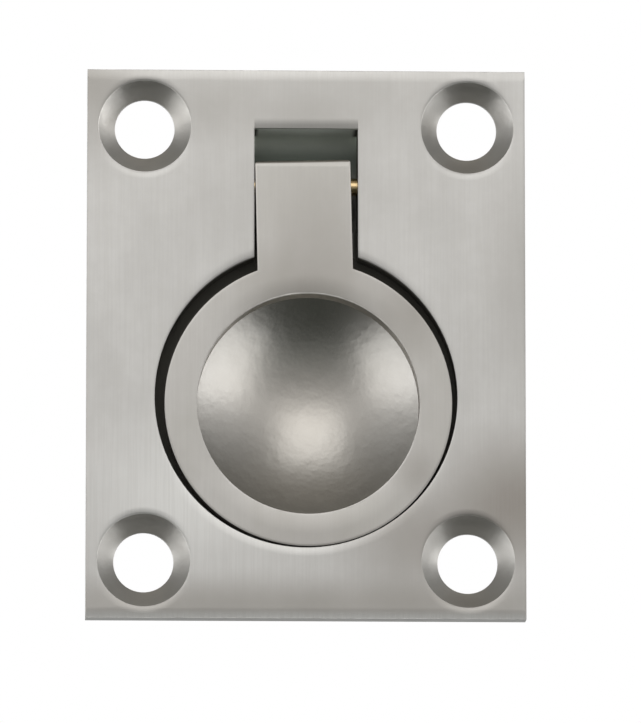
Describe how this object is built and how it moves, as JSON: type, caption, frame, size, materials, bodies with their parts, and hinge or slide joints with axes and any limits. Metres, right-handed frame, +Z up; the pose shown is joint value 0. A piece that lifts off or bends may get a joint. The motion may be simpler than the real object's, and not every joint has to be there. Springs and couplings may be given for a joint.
{
  "type": "flush ring pull",
  "caption": "Flush ring pull: rectangular face plate with countersunk screw holes, keyhole recess and dished finger cup, and a flat ring that folds level with it on a pin.",
  "frame": {"origin": "middle of the four screw holes, on the back face of the flange, where it meets the surface that it is screwed to", "axes": "+Z up along the plate's long side, from the ring towards the hinge; the front faces -Y, so +X is to the right for someone facing the plate"},
  "size_m": [0.038, 0.0079, 0.048],
  "materials": {
    "plate_metal": "satin",
    "ring_metal": "satin",
    "pin_brass": "satin"
  },
  "bodies": {
    "plate": {"face_plate": "plate_metal", "hinge_pin": "pin_brass"},
    "ring": {"pull_ring": "ring_metal"}
  },
  "joints": [
    {"name": "ring_hinge", "type": "hinge", "parent": "plate", "child": "ring", "pos_m": [0, -0.0004, 0.014], "axis": [-1, 0, 0], "range_deg": [0, 140]}
  ]
}
